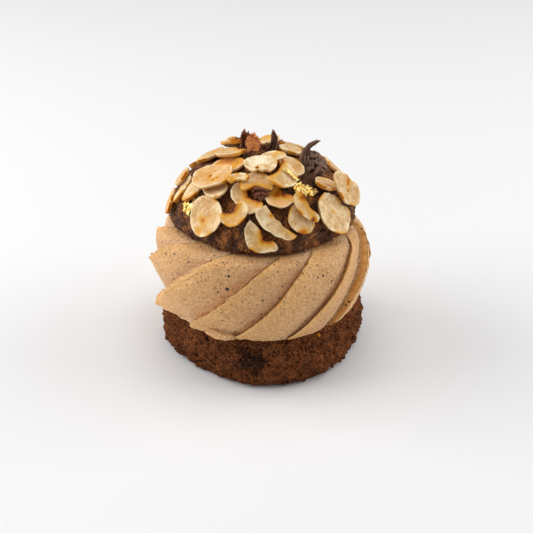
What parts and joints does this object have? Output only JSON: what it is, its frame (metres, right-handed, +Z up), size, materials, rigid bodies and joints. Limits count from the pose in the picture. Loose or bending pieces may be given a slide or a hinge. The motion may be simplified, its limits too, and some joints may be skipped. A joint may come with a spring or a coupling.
{
  "type": "paris-brest choux bun",
  "caption": "Round chocolate choux bun split in two, filled with a fluted swirl of praline cream, its domed lid covered in sliced hazelnuts, husk scraps and gold leaf.",
  "frame": {"origin": "on the table, under the middle of the choux base", "axes": "+Z up, -Y towards the front that the picture shows, +X to its right"},
  "size_m": [0.0715, 0.0711, 0.0738],
  "materials": {
    "choux_base": "dry, porous dark chocolate choux crumb",
    "praline_cream": "soft satin tan cream with dark nut specks",
    "choux_lid": "crackled dark chocolate crust, with small flecks of gold leaf",
    "hazelnut": "pale roasted nut with toasted rims",
    "husk": "dry, wrinkled brown husk",
    "gold_leaf": "crumpled edible gold leaf"
  },
  "bodies": {
    "root": {"choux_base": "choux_base", "choux_lid": "choux_lid", "hazelnut_slice_01": "hazelnut", "hazelnut_slice_02": "hazelnut", "hazelnut_slice_03": "hazelnut", "hazelnut_slice_04": "hazelnut", "hazelnut_slice_05": "hazelnut", "hazelnut_slice_06": "hazelnut", "hazelnut_slice_07": "hazelnut", "hazelnut_slice_08": "hazelnut", "hazelnut_slice_09": "hazelnut", "hazelnut_slice_10": "hazelnut", "hazelnut_slice_11": "hazelnut", "hazelnut_slice_12": "hazelnut", "hazelnut_slice_13": "hazelnut", "hazelnut_slice_14": "hazelnut", "hazelnut_slice_15": "hazelnut", "hazelnut_slice_16": "hazelnut", "hazelnut_slice_17": "hazelnut", "hazelnut_slice_18": "hazelnut", "hazelnut_slice_19": "hazelnut", "hazelnut_slice_20": "hazelnut", "hazelnut_slice_21": "hazelnut", "hazelnut_slice_22": "hazelnut", "hazelnut_slice_23": "hazelnut", "hazelnut_slice_24": "hazelnut", "hazelnut_slice_25": "hazelnut", "hazelnut_slice_26": "hazelnut", "hazelnut_slice_27": "hazelnut", "hazelnut_slice_28": "hazelnut", "hazelnut_slice_29": "hazelnut", "hazelnut_slice_30": "hazelnut", "hazelnut_slice_31": "hazelnut", "hazelnut_slice_32": "hazelnut", "hazelnut_slice_33": "hazelnut", "hazelnut_slice_34": "hazelnut", "hazelnut_slice_35": "hazelnut", "hazelnut_slice_36": "hazelnut", "hazelnut_slice_37": "hazelnut", "hazelnut_slice_38": "hazelnut", "hazelnut_slice_39": "hazelnut", "hazelnut_slice_40": "hazelnut", "hazelnut_slice_41": "hazelnut", "hazelnut_slice_42": "hazelnut", "hazelnut_slice_43": "hazelnut", "husk_1": "husk", "husk_2": "husk", "husk_3": "husk", "praline_cream": "praline_cream"}
  },
  "joints": []
}
